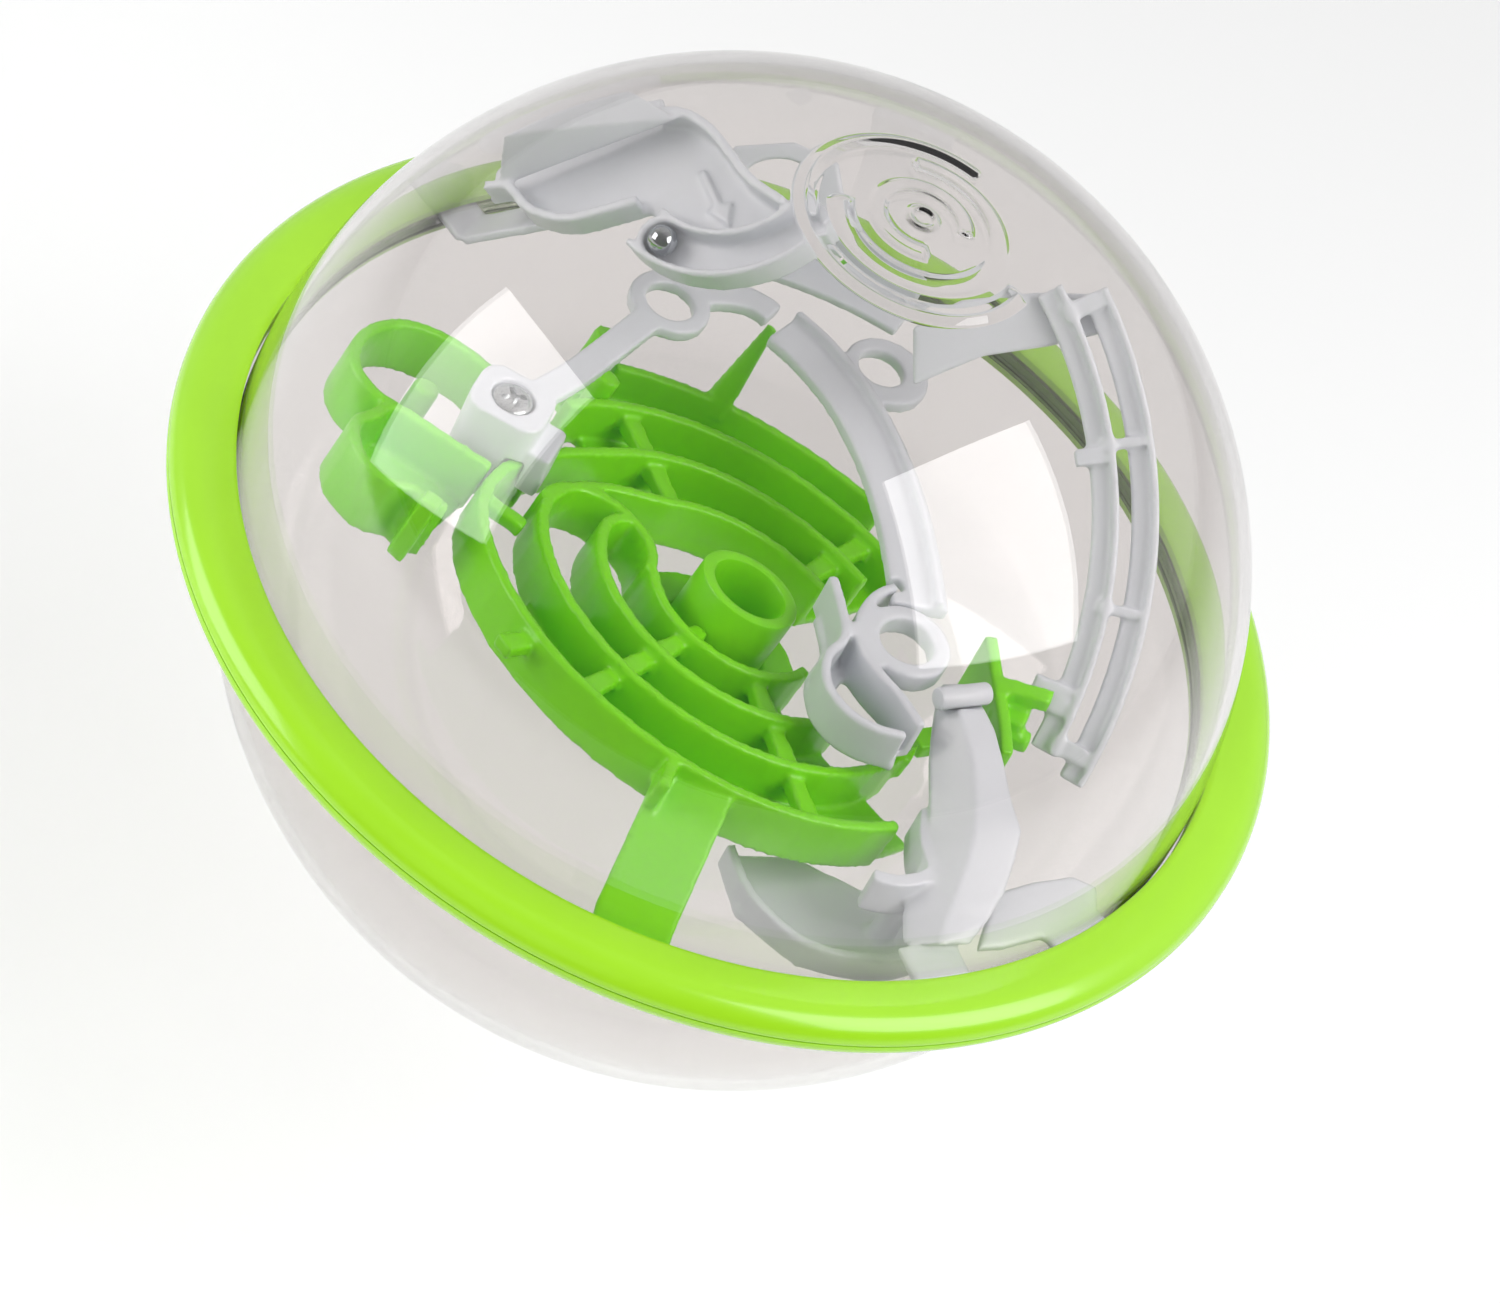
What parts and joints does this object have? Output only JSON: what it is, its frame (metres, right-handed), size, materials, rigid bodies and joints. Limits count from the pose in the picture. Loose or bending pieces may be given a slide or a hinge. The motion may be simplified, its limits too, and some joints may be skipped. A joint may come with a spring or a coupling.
{
  "type": "tilt maze game",
  "caption": "Handheld ball maze: a clear two-part sphere in a green grip ring, with a green spiral tray, white tracks and a steel ball inside.",
  "frame": {"origin": "centre of the clear sphere, in the plane where the two domes meet", "axes": "+Z along the axis of the grip ring, towards the dome that covers the start track; +X to the right of the spiral tray and -Y towards the tray's strut"},
  "size_m": [0.186, 0.186, 0.1656],
  "materials": {
    "clear_plastic": "clear, polished",
    "lime_plastic": "gloss",
    "green_plastic": "satin gloss",
    "white_plastic": "satin gloss",
    "screw_steel": "plated",
    "ball_steel": "polished"
  },
  "bodies": {
    "maze": {"upper_dome": "clear_plastic", "lower_dome": "clear_plastic", "grip_ring_upper": "lime_plastic", "grip_ring_lower": "lime_plastic", "spiral_tray": "green_plastic", "centre_cup": "green_plastic", "clover_track": "green_plastic", "fork_post": "green_plastic", "start_track": "white_plastic", "rail_pair": "white_plastic", "link_plate": "white_plastic", "screwed_arm": "white_plastic", "arched_beam": "white_plastic", "cross_pin": "white_plastic", "wave_track": "white_plastic", "ridge_track": "white_plastic", "rim_plate": "white_plastic", "low_ramp": "white_plastic", "back_track": "white_plastic", "start_leg": "white_plastic", "arm_screw": "screw_steel"},
    "ball": {"ball": "ball_steel"}
  },
  "joints": [
    {"name": "ball_roll", "type": "hinge", "parent": "maze", "child": "ball", "pos_m": [-0.03209, 0.04264, 0.04271], "axis": [-0.497, -0.4977, 0.7108], "range_deg": [0, 75]}
  ]
}
